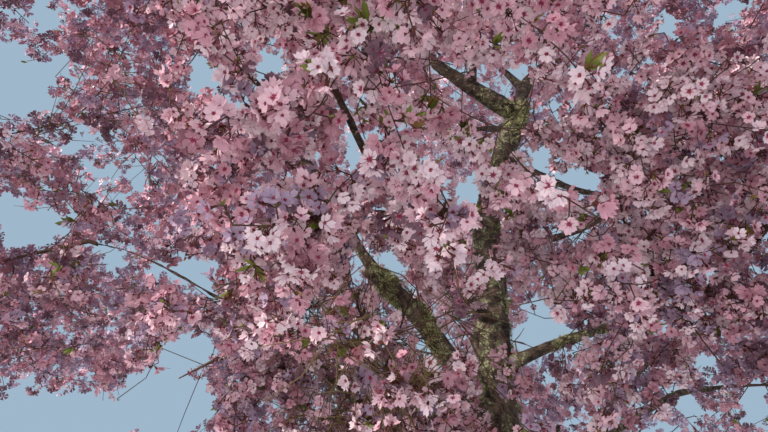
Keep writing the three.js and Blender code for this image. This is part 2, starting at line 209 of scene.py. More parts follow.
steps = limbSizes["steps"]
limbStarts = np.concatenate([limb["points"][:-1] for limb in limbs.values()])
limbRuns = np.concatenate([np.diff(limb["points"], axis=0) for limb in limbs.values()])
limbRunSquares = np.sum(limbRuns**2, axis=1)
limbRadii = []
for limb in limbs.values():
    wide = 1 + limbSizes["flare"] if limb["parent"] is None else 1
    even = [between(limb["base"], limb["tip"], i / steps) * wide for i in range(steps + 1)]
    limbRadii += list(zip(even[:-1], even[1:]))
limbRadii = np.array(limbRadii)


def clearOfLimbs(places):  # distance from each place to the nearest bark
    best = []
    for chunk in np.array_split(places, max(1, len(places) // limbSizes["together"])):
        away = chunk[:, None, :] - limbStarts[None]
        t = np.clip(np.sum(away * limbRuns[None], axis=2) / limbRunSquares, 0, 1)
        far = np.linalg.norm(away - t[:, :, None] * limbRuns[None], axis=2)
        best.append(np.min(far - between(*limbRadii.T, t), axis=1))
    return np.concatenate(best)


# masses, each growing on from its limb's tip and keeping to its own space
massTable = [  # name, limb, centre, half sizes
    ("blossom_low_front", "bough_front", (-0.8, -2.02, 2.95), (1.25, 1.25, 1.12)),
    ("blossom_low_front_right", "bough_front_right", (1.15, -2.3, 3.05), (1.25, 1.15, 1.1)),
    ("blossom_low_inner", "bough_front_inner", (0.35, -1.18, 2.68), (0.9, 0.8, 0.78)),
    ("blossom_low_left_front", "bough_left_front", (-2.3, -1.5, 3.2), (1.3, 1.25, 1.1)),
    ("blossom_low_left", "bough_left_low", (-2.95, -0.1, 3.3), (1.25, 1.25, 1.15)),
    ("blossom_low_left_back", "bough_left_back", (-2.3, 1.65, 3.35), (1.3, 1.25, 1.15)),
    ("blossom_low_back", "bough_back_low", (-0.85, 2.65, 3.15), (1.25, 1.25, 1.1)),
    ("blossom_low_back_right", "bough_back_right", (1.0, 2.6, 3.15), (1.25, 1.25, 1.1)),
    ("blossom_low_right_back", "bough_right_back", (2.4, 1.4, 3.2), (1.3, 1.25, 1.1)),
    ("blossom_low_right", "bough_right_low", (2.9, -0.25, 3.25), (1.25, 1.25, 1.15)),
    ("blossom_low_right_front", "bough_right_mid", (2.2, -1.6, 3.15), (1.25, 1.25, 1.1)),
    ("blossom_mid_front", "fork_front", (-0.2, -1.7, 4.4), (1.25, 1.2, 1.0)),
    ("blossom_mid_left", "bough_left_mid", (-1.75, -0.85, 4.55), (1.25, 1.2, 1.05)),
    ("blossom_mid_left_back", "bough_left_high", (-1.9, 0.9, 4.6), (1.25, 1.25, 1.05)),
    ("blossom_mid_back", "bough_back_high", (0.0, 2.0, 4.65), (1.25, 1.2, 1.05)),
    ("blossom_mid_right_back", "bough_right_rear", (1.85, 1.05, 4.65), (1.25, 1.25, 1.05)),
    ("blossom_mid_right", "bough_right_high", (1.75, -0.9, 4.55), (1.25, 1.2, 1.05)),
    ("blossom_top_left", "fork_left", (-0.85, -0.55, 5.7), (1.15, 1.1, 0.95)),
    ("blossom_top_right", "fork_right", (1.0, -0.35, 5.75), (1.15, 1.1, 0.95)),
    ("blossom_top_back", "fork_back", (0.1, 1.05, 5.8), (1.15, 1.1, 0.95)),
    ("blossom_top", "fork_top", (0.1, 0.15, 6.45), (0.85, 0.85, 0.62)),
    ("blossom_low_middle", "bough_inner_low", (-0.68, -0.9, 2.42), (0.95, 0.8, 0.72)),
]
massNames = [tableRow[0] for tableRow in massTable]
centres = np.array([tableRow[2] for tableRow in massTable])
halves = np.array([tableRow[3] for tableRow in massTable])

growth = {
    "gap": 0.0003,  # between a limb's tip and its stem
    "cellMargin": 0.004,  # room kept to the next mass
    "limbMargin": 0.012,  # and to the limbs
    "stemLead": 0.06,
    "stemLimit": 0.02,
    "stemShare": 0.95,  # the stem's radius beside its limb's tip, as the solids have it
    "stemLook": 0.97,  # and as it is drawn here
    "stemEnd": 0.005,
    "stemInside": 0.02,  # how far the drawn stem starts inside its limb
    "twigBase": 0.013,
    "twigEnd": 0.006,
    "thinner": 0.85,  # a twig's radius beside its parent's
    "twigs": 11,  # of a mass, as the solids have them
    "tries": 900,
    "outerPlaces": 36,
    "outerRho": (0.72, 0.28),  # how far out the first places lie: least, and what is added
    "massStep": 37,
    "slide": 0.5,  # how far back towards the root a twig leaves its parent
    "leastOnStem": 0.35,
    "leastOnTwig": 0.12,
    "mostShare": 0.8,
    "tipSpacing": 0.43,
    "blossomRadius": 0.275,
    "coarseLook": 0.0047,  # radius at the foot of a first-order twig
    "coarseEnd": 0.0026,
    "fineTwigs": 150,
    "fineTries": 1500,
    "fineSpacing": 0.11,
    "closer": 0.68,  # share of that spacing where the crown closes up
    "fineReach": 0.06,
    "fineRoom": 0.004,
    "fineLook": 0.0040,
    "fineEnd": 0.0019,
    "fineShare": 0.8,  # a fine twig's radius beside its parent's
    "bow": 0.08,
    "coarseBow": 0.5,  # share of the bow that a first-order twig has
    "rise": 0.04,
    "pathSteps": 9,
    "openShare": 0.4,  # a twig is left out when this much of what shows would cross open air
    "edge": 0.13,  # how far blossom may pass the solids' box
}
crowded = {  # masses near the camera and at the left: fine twigs and the space between them
    "blossom_low_front": (400, 0.095),
    "blossom_low_inner": (390, 0.085),
    "blossom_low_middle": (450, 0.075),
    "blossom_mid_front": (240, 0.11),
    "blossom_low_front_right": (190, 0.11),
    "blossom_low_left": (290, 0.095),
    "blossom_mid_left": (290, 0.095),
    "blossom_mid_left_back": (240, 0.1),
    "blossom_low_left_back": (240, 0.1),
}
spread = 1.22074408460575947536  # its powers spread places evenly in three directions

# how near to the camera the crown comes, by picture column and row
nearLimits = {
    "centre": 0.95,
    "left": 2.15,
    "leftEdge": (215, 110),  # columns between which the limit comes to that of its side
    "right": 1.6,
    "rightEdge": (600, 680),
    "lowRight": 2.3,
    "lowRightEdge": (575, 650),
    "lowRightRows": (300, 350),
    "lowLeft": 2.1,
    "lowLeftEdge": (400, 300),
    "lowLeftRows": (310, 380),
}


def nearLimit(column, row):
    limits = []
    for side in ("left", "right", "lowRight", "lowLeft"):
        share = ease(*nearLimits[side + "Edge"], column)
        if side + "Rows" in nearLimits:
            share = share * ease(*nearLimits[side + "Rows"], row)
        limits.append(between(nearLimits["centre"], nearLimits[side], share))
    return np.max(limits, axis=0)


def tooNear(places):
    column, row, depth = toPixels(places)
    near = np.linalg.norm(places - eye, axis=1)
    shown = inPicture(places, camera["closeFrame"])
    return (near < nearLimits["centre"]) | (shown & (near < nearLimit(column, row)))


def inCell(places, m, reach):
    away = places - centres[m]
    inside = np.linalg.norm(away / (halves[m] - reach), axis=1) <= 1
    others = np.delete(centres, m, axis=0) - centres[m]
    far = np.linalg.norm(others, axis=1)
    room = far / 2 - reach - growth["cellMargin"]
    return inside & np.all(away @ (others / far[:, None]).T < room, axis=1)


def spreadPoint(m, k):  # evenly spread places, the first ones out towards the surface
    n = k + 1 + growth["massStep"] * m
    u, v, w = [(0.5 + n / spread**power) % 1 for power in (1, 2, 3)]
    z = 1 - 2 * v
    across = math.sqrt(1 - z * z)
    least, more = growth["outerRho"]
    rho = least + more * w if k < growth["outerPlaces"] else w ** (1 / 3)
    turn = 2 * math.pi * u
    return centres[m] + halves[m] * rho * np.array([across * math.cos(turn), across * math.sin(turn), z])


class Feet:  # the twigs so far, as arrays that grow
    def __init__(self, size):
        self.foot, self.run = np.zeros((size, 3)), np.zeros((size, 3))
        self.count = 0

    def add(self, foot, tip):
        self.foot[self.count], self.run[self.count] = foot, tip - foot
        self.count += 1

    def nearest(self, place):  # twig, share along it and distance, slid back towards its root
        foot, run = self.foot[:self.count], self.run[:self.count]
        squares = np.sum(run * run, axis=1)
        t = np.clip(np.sum((place - foot) * run, axis=1) / squares, 0, 1)
        far = np.linalg.norm(place - foot - t[:, None] * run, axis=1)
        best = int(np.argmin(far))
        least = growth["leastOnStem"] if best == 0 else growth["leastOnTwig"]
        share = t[best] - growth["slide"] * far[best] / math.sqrt(squares[best])
        return best, min(growth["mostShare"], max(least, share)), far[best]


twelfths = np.arange(1, 13)[:, None] / 12


def twigIsFree(foot, tip, m, radius):
    places = foot + (tip - foot) * twelfths
    if not np.all(inCell(places, m, radius)):
        return False
    return bool(np.all(clearOfLimbs(places) > radius + growth["limbMargin"]))


def twigCurve(twig, share):  # a twig bows a little off its straight line
    return between(twig["foot"], twig["tip"], share) + twig["bow"] * 4 * share * (1 - share)


def growCoarse(m):  # the solid's own stem and twigs
    limb = limbs[massTable[m][1]]
    points = limb["points"]
    ahead = points[-1] - points[-3]
    ahead /= np.linalg.norm(ahead)
    root = points[-1] + ahead * growth["gap"]
    thick = min(growth["stemLimit"], limb["tip"] * growth["stemShare"])
    stem = {
        "foot": root + ahead * growth["stemLead"],
        "tip": centres[m],
        "thick": thick,
        "thin": growth["twigBase"],
        "base": limb["tip"] * growth["stemLook"],
        "end": growth["stemEnd"],
        "bow": np.zeros(3),
        "level": 0,
        "root": points[-1] - ahead * growth["stemInside"],
        "leftOut": False,
    }
    twigs = [stem]
    feet = Feet(growth["twigs"] + 1)
    feet.add(stem["foot"], stem["tip"])
    reach = growth["blossomRadius"]
    for k in range(growth["tries"]):
        if len(twigs) > growth["twigs"]:
            break
        place = spreadPoint(m, k)
        if not inCell(place[None], m, reach)[0]:
            continue
        if clearOfLimbs(place[None])[0] < reach + growth["limbMargin"]:
            continue
        parent, share = feet.nearest(place)[:2]
        over = twigs[parent]
        foot = between(over["foot"], over["tip"], share)
        thick = min(growth["twigBase"], between(over["thick"], over["thin"], share) * growth["thinner"])
        apart = all(np.linalg.norm(twig["tip"] - place) > growth["tipSpacing"] for twig in twigs[1:])
        if apart and twigIsFree(foot, place, m, thick):
            feet.add(foot, place)
            twigs.append({
                "foot": foot,
                "tip": place,
                "thick": thick,
                "thin": min(growth["twigEnd"], thick),
                "level": 1,
                "base": growth["coarseLook"],
                "end": growth["coarseEnd"],
                "parent": parent,
                "share": share,
            })
    for twig in twigs[1:]:
        over = twigs[twig["parent"]]
        length = np.linalg.norm(twig["tip"] - twig["foot"])
        upward = np.array([0, 0, growth["rise"] * length])
        twig["bow"] = rng.normal(0, growth["bow"] * growth["coarseBow"], 3) * length + upward
        twig["foot"] = twigCurve(over, twig["share"])
        path = np.array([twigCurve(twig, s) for s in np.linspace(0, 1, growth["pathSteps"])])
        shown = inPicture(path, camera["nearFrame"])
        crossing = np.sum(shown & (tooNear(path) | openSky(path)))
        twig["leftOut"] = over["leftOut"] or crossing > growth["openShare"] * np.sum(shown)
    return [twig for twig in twigs if not twig["leftOut"]]


def growMass(m):
    twigs = growCoarse(m)
    limit, spacing = crowded.get(massNames[m], (growth["fineTwigs"], growth["fineSpacing"]))
    feet = Feet(growth["fineTries"] + len(twigs))
    for twig in twigs:
        feet.add(twig["foot"], twig["tip"])
    count = 0
    inset = growth["fineReach"] - growth["edge"]
    for k in range(growth["tries"], growth["tries"] + growth["fineTries"]):
        if count >= limit:
            break
        place = spreadPoint(m, k)
        if not inCell(place[None], m, growth["fineReach"])[0]:
            continue
        if np.any(place < cadLow + inset) or np.any(place > cadHigh - inset):
            continue
        parent, share, far = feet.nearest(place)
        crowding = closesUp(place[None])[0]
        if far < spacing * (growth["closer"] if crowding else 1):
            continue
        foot = twigCurve(twigs[parent], share)
        outer = np.array([place, (foot + place) / 2])
        if np.any(tooNear(outer) | openSky(outer)):
            continue
        if not twigIsFree(foot, place, m, growth["fineRoom"]):
            continue
        radius = between(twigs[parent]["base"], twigs[parent]["end"], share)
        bow = rng.normal(0, growth["bow"], 3) * np.linalg.norm(place - foot)
        feet.add(foot, place)
        twigs.append({
            "foot": foot,
            "tip": place,
            "base": min(growth["fineLook"], radius * growth["fineShare"]),
            "end": growth["fineEnd"],
            "bow": bow,
            "level": 2,
        })
        count += 0 if crowding else 1
    return twigs


# where the photograph shows sky: column, row, half width and half height of each gap
skyGaps = {
    "farLeft": (22, 88, 30, 30),
    "topLeft": (50, 18, 14, 14),
    "leftOfTop": (206, 76, 18, 20),
    "leftOfTopHigh": (262, 64, 13, 21),
    "leftOfTopLow": (237, 101, 13, 10),
    "leftMiddle": (36, 226, 40, 18),
    "leftSlit": (138, 176, 10, 18),
    "leftSlitLow": (118, 198, 8, 8),
    "lowLeft": (166, 402, 52, 36),
    "lowLeftHigh": (187, 349, 33, 17),
    "lowLeftUpper": (190, 268, 32, 12),
    "lowLeftCorner": (60, 420, 80, 30),
    "middle": (390, 258, 11, 16),
    "besideLeader": (543, 325, 17, 24),
    "rightHigh": (578, 180, 24, 14),
    "rightOfLeader": (548, 152, 8, 11),
    "leaderTop": (522, 68, 8, 8),
    "leaderLeft": (505, 160, 7, 10),
    "lowRightCorner": (754, 400, 16, 26),
    "lowRight": (685, 400, 14, 18),
    "lowRightUpper": (705, 362, 15, 8),
    "leftEdge": (60, 62, 12, 7),
    "glintHigh": (479, 183, 6, 5),
    "glintMiddle": (443, 192, 4, 7),
    "glintInner": (483, 217, 4, 7),
    "glintLow": (460, 269, 8, 5),
    "glintLeft": (446, 241, 6, 4),
    "glintBesideMossy": (404, 268, 7, 7),
}

# stretches of limb that the photograph shows through the blossom: limb, from, to, half width in pixels
limbWindows = {
    "leaderTop": ("leader", 0.88, 1.0, 12),
    "leaderLow": ("leader", 0.45, 0.54, 7),
    "leaderFoot": ("leader", 0.30, 0.34, 9),
    "leftFork": ("fork_left", 0.05, 0.6, 11),
    "rightFork": ("fork_right", 0.0, 0.3, 8),
    "mossy": ("bough_mossy", 0.48, 1.0, 15),
    "rightMid": ("bough_right_mid", 0.1, 0.28, 6),
    "front": ("bough_front", 0.84, 1.0, 4),
    "leftLow": ("bough_left_low", 0.68, 1.0, 4),
    "rightHigh": ("bough_right_high", 0.25, 0.5, 4),
    "stub": ("sawn_stub", 0.2, 1.0, 7),
}
# where the nearest twigs and sprays close up: column, row, half width and half height
fullSpots = {
    "overLeader": (490, 240, 38, 62),
    "leaderMiddle": (484, 372, 54, 24),
    "leftOfLeader": (430, 395, 40, 30),
    "besideFront": (368, 148, 32, 50),
    "leftHeap": (300, 165, 88, 64),
    "lowLeftBough": (302, 362, 36, 26),
    "leftOfFork": (456, 188, 20, 24),
}
fullDepth = 2.6  # what stands deeper doesn't close up
windowSteps = 9
windowPoints = []
for name, low, high, half in limbWindows.values():
    shares = np.linspace(low, high, windowSteps)
    places = np.array([along(limbs[name]["points"], s) for s in shares])
    windowPoints += [(*spot, half) for spot in zip(*toPixels(places))]

# waves of the gaps' uneven edges, by column and by row
gapWaves = {"broad": (0.21, 0.17), "start": 1.3, "fine": (0.43, 0.31), "fineShare": 0.7, "depth": 0.28}


def wobble(column, row):
    across, down = gapWaves["broad"]
    broad = np.sin(column * across + gapWaves["start"]) * np.cos(row * down)
    across, down = gapWaves["fine"]
    fine = np.sin(column * across + row * down)
    return gapWaves["depth"] * (broad + gapWaves["fineShare"] * fine)


def insideSpots(spots, column, row, limit=1):
    inside = np.zeros(np.shape(column), bool)
    for x, y, wide, high in spots:
        inside |= ((column - x) / wide) ** 2 + ((row - y) / high) ** 2 < limit
    return inside


def openSky(places):
    column, row, depth = toPixels(places)
    return insideSpots(skyGaps.values(), column, row, 1 + wobble(column, row)) & (depth > 0)


def closesUp(places):
    column, row, depth = toPixels(places)
    return insideSpots(fullSpots.values(), column, row) & (depth > 0) & (depth < fullDepth)


windowEdge = (0.45, 1.1)  # nothing is let by within the first share, and beyond it chance decides


def beforeLimb(places, size):  # true for most things of this size that would hide such a stretch
    column, row, depth = toPixels(places)
    chance = rng.random(len(places))
    gone = np.zeros(len(places), bool)
    reach = size * pixelsPerUnit / np.maximum(depth, leastAway)
    for x, y, far, half in windowPoints:
        off = ((column - x) ** 2 + (row - y) ** 2) / (half + reach) ** 2
        gone |= (off < windowEdge[0] + windowEdge[1] * chance) & (depth < far) & (depth > 0)
    return gone


massTwigs = [growMass(m) for m in range(len(massTable))]
print("twigs grown:", sum(len(twigs) for twigs in massTwigs), [len(twigs) for twigs in massTwigs])

# plain colours, dealt out by spray; the petal tints are partly the petals' own tones and partly painted
# light and shade
finishes = {
    # painted light: the palest and pale petal tints are dealt mostly where the light falls
    "petalPalest": (0.93, 0.71, 0.76),
    "petalPale": (0.89, 0.57, 0.64),
    "petalMid": (0.74, 0.38, 0.46),
    # partly deeper pink petals, partly painted shade: dealt mostly where the crown's shade falls
    "petalDeep": (0.49, 0.23, 0.28),
    # painted shade: a mauve copy of the petals for sprays in the crown's shade
    "petalMauveShade": (0.47, 0.33, 0.45),
    # painted shade: a dark copy of the petals for sprays in the crown's shade
    "petalShade": (0.25, 0.13, 0.17),
    "flush": (0.70, 0.27, 0.36),
    "eyeCrimson": (0.30, 0.025, 0.07),
    "calyxRed": (0.17, 0.03, 0.03),
    "stalkBrown": (0.12, 0.04, 0.025),
    "budPink": (0.52, 0.12, 0.20),
    "leafOlive": (0.23, 0.27, 0.05),
    "leafBronze": (0.27, 0.16, 0.05),
    "twigBark": (0.105, 0.058, 0.038),
    "twigOlive": (0.19, 0.125, 0.055),
    "lichenDark": (0.10, 0.10, 0.045),
    "lichenGreen": (0.30, 0.31, 0.14),
    "lichenPale": (0.55, 0.56, 0.31),
}
roughness = {"leafOlive": 0.5, "leafBronze": 0.5, "budPink": 0.5, "twigBark": 0.85, "lichenDark": 0.95,
             "lichenGreen": 0.95, "lichenPale": 0.95}
plainRoughness = 0.62
shine = {"plain": 0.3, "bark": 0.25}
finishNames = list(finishes)
look = {name: i for i, name in enumerate(finishNames)}


def newFinish(name, rough, shiny):
    mat = bpy.data.materials.new(name)
    mat.use_nodes = True
    shader = mat.node_tree.nodes["Principled BSDF"]
    shader.inputs["Roughness"].default_value = rough
    shader.inputs["Specular IOR Level"].default_value = shiny
    return mat, shader


def plainFinish(name, colour, rough):
    mat, shader = newFinish(name, rough, shine["plain"])
    shader.inputs["Base Color"].default_value = (*colour, 1)
    return mat


barkLook = {
    "roughness": 0.88,
    "browns": [(0.32, (0.017, 0.012, 0.009)), (0.5, (0.062, 0.042, 0.031)), (0.7, (0.17, 0.12, 0.09))],
    "pales": [(0.3, (0.12, 0.085, 0.065)), (0.7, (0.22, 0.175, 0.14))],
    "greens": [(0.34, (0.04, 0.036, 0.02)), (0.52, (0.15, 0.145, 0.08)), (0.7, (0.43, 0.42, 0.27))],
    "bands": (0.58, 0.68),
    "lichenEdge": 0.06,
    "bump": {"Strength": 0.9, "Distance": 0.012},
    "noises": {  # scale, detail and stretch
        "wood": (26, 9, (1, 1, 1)),
        "bands": (30, 3, (1, 1, 7)),
        "pale": (60, 2, (1, 1, 1)),
        "green": (80, 6, (1, 1, 1)),
        "patches": (18, 9, (1, 1, 1)),
        "bump": (60, 9, (1, 1, 0.6)),
    },
    "lichenFrom": {"barkPlain": 0.59, "barkMossy": 0.51},
}


def barkFinish(name, lichenFrom):  # brown bark, pale bands and lichen patches above a noise level
    mat, shader = newFinish(name, barkLook["roughness"], shine["bark"])
    nodes, links = mat.node_tree.nodes, mat.node_tree.links
    place = nodes.new("ShaderNodeTexCoord").outputs["Object"]

    def noise(layer):
        scale, detail, stretch = barkLook["noises"][layer]
        mapping = nodes.new("ShaderNodeMapping")
        mapping.inputs["Scale"].default_value = stretch
        links.new(place, mapping.inputs["Vector"])
        texture = nodes.new("ShaderNodeTexNoise")
        texture.inputs["Scale"].default_value = scale
        texture.inputs["Detail"].default_value = detail
        links.new(mapping.outputs["Vector"], texture.inputs["Vector"])
        return texture.outputs["Fac"]

    def ramp(source, stops):
        node = nodes.new("ShaderNodeValToRGB")
        while len(node.color_ramp.elements) < len(stops):
            node.color_ramp.elements.new(0.5)
        for element, (at, colour) in zip(node.color_ramp.elements, stops):
            element.position = at
            element.color = (*colour, 1)
        links.new(source, node.inputs["Fac"])
        return node.outputs["Color"]

    def blend(share, below, above):  # by the numbers of the node's colour sockets
        node = nodes.new("ShaderNodeMix")
        node.data_type = "RGBA"
        links.new(share, node.inputs[0])
        links.new(below, node.inputs[6])
        links.new(above, node.inputs[7])
        return node.outputs[2]

    def step(layer, low, high):  # nought below one noise level, all above another
        return ramp(noise(layer), [(low, (0, 0, 0)), (high, (1, 1, 1))])

    wood = blend(step("bands", *barkLook["bands"]), ramp(noise("wood"), barkLook["browns"]),
                 ramp(noise("pale"), barkLook["pales"]))
    patches = step("patches", lichenFrom, lichenFrom + barkLook["lichenEdge"])
    green = ramp(noise("green"), barkLook["greens"])
    links.new(blend(patches, wood, green), shader.inputs["Base Color"])
    bump = nodes.new("ShaderNodeBump")
    for setting, value in barkLook["bump"].items():
        bump.inputs[setting].default_value = value
    links.new(noise("bump"), bump.inputs["Height"])
    links.new(bump.outputs["Normal"], shader.inputs["Normal"])
    return mat


mats = {}
for name, colour in finishes.items():
    mats[name] = plainFinish(name, colour, roughness.get(name, plainRoughness))
barkMats = {name: barkFinish(name, level) for name, level in barkLook["lichenFrom"].items()}

# trunk and boughs
bark = {
    "trunkSides": 28,
    "boughSides": 16,
    "smallSides": 12,
    "ringEvery": 0.075,
    "fewestRings": 6,
    "thick": 0.09,  # limbs from this radius up have the trunk's number of sides
    "middling": 0.051,  # and from this one up the boughs' number, smoothed twice
    "under": 0.04,  # the trunk is drawn this far below the ground, then cut flat
    "mossy": ("bough_mossy", "bough_right_mid", "leader"),
    # size, detail and depth of the bark's relief
    "reliefs": {"knots": (0.17, 0, 0.024), "plates": (0.045, 3, 0.022), "grain": (0.014, 2, 0.009)},
    "fullRelief": 0.08,  # from this radius up the relief is at its full depth
    "leastAxis": 1e-6,
}


def smoothCourse(points, rings):  # a curve through the course's points
    shares = np.linspace(0, 1, rings)
    places = []
    last = len(points) - 1
    for share in shares:
        i = min(int(share * last), last - 1)
        f = share * last - i
        a, b, c, d = [points[min(max(j, 0), last)] for j in (i - 1, i, i + 1, i + 2)]
        square = (2 * a - 5 * b + 4 * c - d) * f * f
        cube = (3 * b - a - 3 * c + d) * f**3
        places.append(0.5 * (2 * b + (c - a) * f + square + cube))
    return np.array(places), shares


def selectOnly(*pieces):
    for other in bpy.context.selected_objects:
        other.select_set(False)
    for piece in pieces:
        piece.select_set(True)
        bpy.context.view_layer.objects.active = piece


def turnBetween(a, b):
    a, b = Vector(a).normalized(), Vector(b).normalized()
    axis = a.cross(b)
    return a.angle(b), axis.normalized() if axis.length > bark["leastAxis"] else Vector((1, 0, 0))


def growBark(limb):
    upright = limb["parent"] is None
    points = limb["points"].copy()
    if upright:
        points[0] = points[0] - np.array([0, 0, bark["under"]])
    rings = max(bark["fewestRings"], int(limb["length"] / bark["ringEvery"]))
    course, shares = smoothCourse(points, rings)
    sides = bark["smallSides"]
    if limb["base"] > bark["middling"]:
        sides = bark["trunkSides"] if limb["base"] > bark["thick"] else bark["boughSides"]
    selectOnly()
    aim = Vector((0, 0, 1)) if upright else Vector(course[1] - course[0]).normalized()
    radius = limbRadius(limb, 0)
    tilt = aim.to_track_quat("Z", "Y").to_euler()
    bpy.ops.mesh.primitive_circle_add(vertices=sides, radius=radius, fill_type="NGON",
                                      location=course[0], rotation=tilt)
    piece = bpy.context.object
    piece.name = limb["name"] + "_bark"
    bpy.ops.object.mode_set(mode="EDIT")
    bpy.ops.mesh.select_all(action="SELECT")
    for i in range(1, rings):
        move = tuple(course[i] - course[i - 1])
        bpy.ops.mesh.extrude_region_move(TRANSFORM_OT_translate={"value": move})
        if not upright:
            ahead = Vector(course[min(i + 1, rings - 1)] - course[i - 1]).normalized()
            angle, axis = turnBetween(aim, ahead)
            bpy.ops.transform.rotate(value=-angle, orient_axis="Z", orient_type="GLOBAL",
                                     orient_matrix=axis.to_track_quat("Z", "Y").to_matrix(),
                                     orient_matrix_type="GLOBAL", center_override=tuple(course[i]))
            aim = ahead
        wider = limbRadius(limb, shares[i]) / radius
        bpy.ops.transform.resize(value=(wider, wider, wider), center_override=tuple(course[i]))
        radius *= wider
    bpy.ops.object.mode_set(mode="OBJECT")
    selectOnly(piece)
    bpy.ops.object.transform_apply(location=True, rotation=True, scale=True)
    return piece


def flareRoots(piece):  # lobes that widen the foot
    for vertex in piece.data.vertices:
        fade = math.exp(-max(vertex.co.z, 0) / limbSizes["flareReach"])
        angle = math.atan2(vertex.co.y, vertex.co.x)
        lobe = limbSizes["lobeDepth"] * math.cos(limbSizes["lobes"] * angle + limbSizes["lobeTurn"])
        wide = 1 + fade * limbSizes["flare"] * (limbSizes["lobeEven"] + lobe)
        vertex.co.x *= wide
        vertex.co.y *= wide


def finishBark(piece, limb):
    selectOnly(piece)
    smooth = piece.modifiers.new("smooth", "SUBSURF")
    smooth.levels = smooth.render_levels = 2 if limb["base"] > bark["middling"] else 1
    bpy.ops.object.modifier_apply(modifier="smooth")
    for name, (scale, depth, strength) in bark["reliefs"].items():
        texture = bpy.data.textures.new(name, "CLOUDS")
        texture.noise_scale = scale
        texture.noise_depth = depth
        relief = piece.modifiers.new(name, "DISPLACE")
        relief.texture = texture
        relief.texture_coords = "GLOBAL"
        relief.mid_level = 0.5
        relief.strength = strength * min(1.0, limb["base"] / bark["fullRelief"])
        bpy.ops.object.modifier_apply(modifier=name)
    piece.data.materials.append(barkMats["barkMossy" if limb["name"] in bark["mossy"] else "barkPlain"])
    bpy.ops.object.shade_smooth()


def cutFoot(piece):  # flat cut at the ground
    selectOnly(piece)
    bpy.ops.object.mode_set(mode="EDIT")
    bpy.ops.mesh.select_all(action="SELECT")
    bpy.ops.mesh.bisect(plane_co=(0, 0, 0), plane_no=(0, 0, 1), clear_inner=True, use_fill=True)
    bpy.ops.object.mode_set(mode="OBJECT")


barkPieces = {}
for name, limb in limbs.items():
    piece = growBark(limb)
    if name == "trunk":
        flareRoots(piece)
    finishBark(piece, limb)
    if name == "trunk":
        cutFoot(piece)
    barkPieces[name] = piece


def joinBark(name, names):
    selectOnly(*[barkPieces[n] for n in names])
    bpy.context.view_layer.objects.active = barkPieces[names[0]]
    bpy.ops.object.join()
    piece = bpy.context.object
    piece.name = name
    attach(piece, "root")
    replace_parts(piece, *names)
    print(name, sum(len(face.vertices) - 2 for face in piece.data.polygons), "triangles")


joinBark("bark_trunk_and_leader", ["trunk", "leader"])
joinBark("bark_boughs", [name for name in limbs if name not in ("trunk", "leader")])


# small things as joined meshes from arrays
class Heap:  # gathers vertices, triangles and finishes for one joined piece
    def __init__(self):
        self.places, self.faces, self.looks, self.count = [], [], [], 0

    def add(self, places, faces, looks):
        self.places.append(places.reshape(-1, 3))
        self.faces.append(faces.reshape(-1, 3) + self.count)
        self.looks.append(np.broadcast_to(looks, (len(self.faces[-1]),)))
        self.count += len(self.places[-1])

    def piece(self, name, slot, smooth=True):
        places = np.concatenate(self.places).astype(np.float32)
        faces = np.concatenate(self.faces).astype(np.int32)
        looks = np.concatenate(self.looks)
        order = np.zeros(len(finishNames), np.int32)
        mesh = bpy.data.meshes.new(name)
        for i, used in enumerate(sorted(set(looks.tolist()))):
            order[used] = i
            mesh.materials.append(mats[finishNames[used]])
        mesh.vertices.add(len(places))
        mesh.vertices.foreach_set("co", places.ravel())
        mesh.loops.add(len(faces) * 3)
        mesh.loops.foreach_set("vertex_index", faces.ravel())
        mesh.polygons.add(len(faces))
        mesh.polygons.foreach_set("loop_start", np.arange(0, len(faces) * 3, 3, dtype=np.int32))
        mesh.polygons.foreach_set("material_index", order[looks])
        mesh.polygons.foreach_set("use_smooth", np.full(len(faces), smooth))
        mesh.update(calc_edges=True)
        mesh.validate()
        piece = bpy.data.objects.new(name, mesh)
        bpy.context.scene.collection.objects.link(piece)
        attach(piece, "root")
        print(name, len(faces), "triangles")
        return piece


leastLength = 1e-9
steep = 0.8  # above this share of upright, another helper is used


def unit(vectors):
    return vectors / np.maximum(np.linalg.norm(vectors, axis=-1, keepdims=True), leastLength)


def basisFor(facing, spin):  # two axes square to each direction, turned by spin
    helper = np.where(np.abs(facing[:, 2:3]) > steep, np.array([[1.0, 0, 0]]), np.array([[0, 0, 1.0]]))
    side = unit(helper - facing * np.sum(helper * facing, axis=1, keepdims=True))
    up = np.cross(facing, side)
    c, s = np.cos(spin)[:, None], np.sin(spin)[:, None]
    return side * c + up * s, up * c - side * s


def placeCopies(heap, shape, looks, spots, facing, spin, size, lift=1.0):
    points, faces = shape
    side, up = basisFor(facing, spin)
    flat, tall = size[:, None, None], (size * lift)[:, None, None]
    places = spots[:, None, :] + side[:, None, :] * points[None, :, 0:1] * flat
    places = places + up[:, None, :] * points[None, :, 1:2] * flat
    places = places + facing[:, None, :] * points[None, :, 2:3] * tall
    steps = (np.arange(len(spots)) * len(points))[:, None, None]
    heap.add(places, faces[None] + steps, np.broadcast_to(looks, (len(spots), len(faces))).reshape(-1))


def addTubes(heap, paths, radii, sides, finish):  # many tubes at once: paths (n, p, 3), radii (n, p)
    n, p = paths.shape[:2]
    side, up = basisFor(unit(paths[:, -1] - paths[:, 0]), np.zeros(n))
    angles = (2 * np.pi * np.arange(sides) / sides)[None, :, None]
    rim = side[:, None, :] * np.cos(angles) + up[:, None, :] * np.sin(angles)
    places = paths[:, :, None, :] + rim[:, None] * radii[:, :, None, None]
    ring = np.arange(sides)
    after = (ring + 1) % sides
    faces = []
    for i in range(p - 1):
        a, b = ring + i * sides, after + i * sides
        faces += [np.stack([a, b, b + sides], 1), np.stack([a, b + sides, a + sides], 1)]
    top = (p - 1) * sides
    faces += [np.array([[top, top + k, top + k + 1]]) for k in range(1, sides - 1)]
    steps = (np.arange(n) * p * sides)[:, None, None]
    heap.add(places, np.concatenate(faces)[None] + steps, finish)


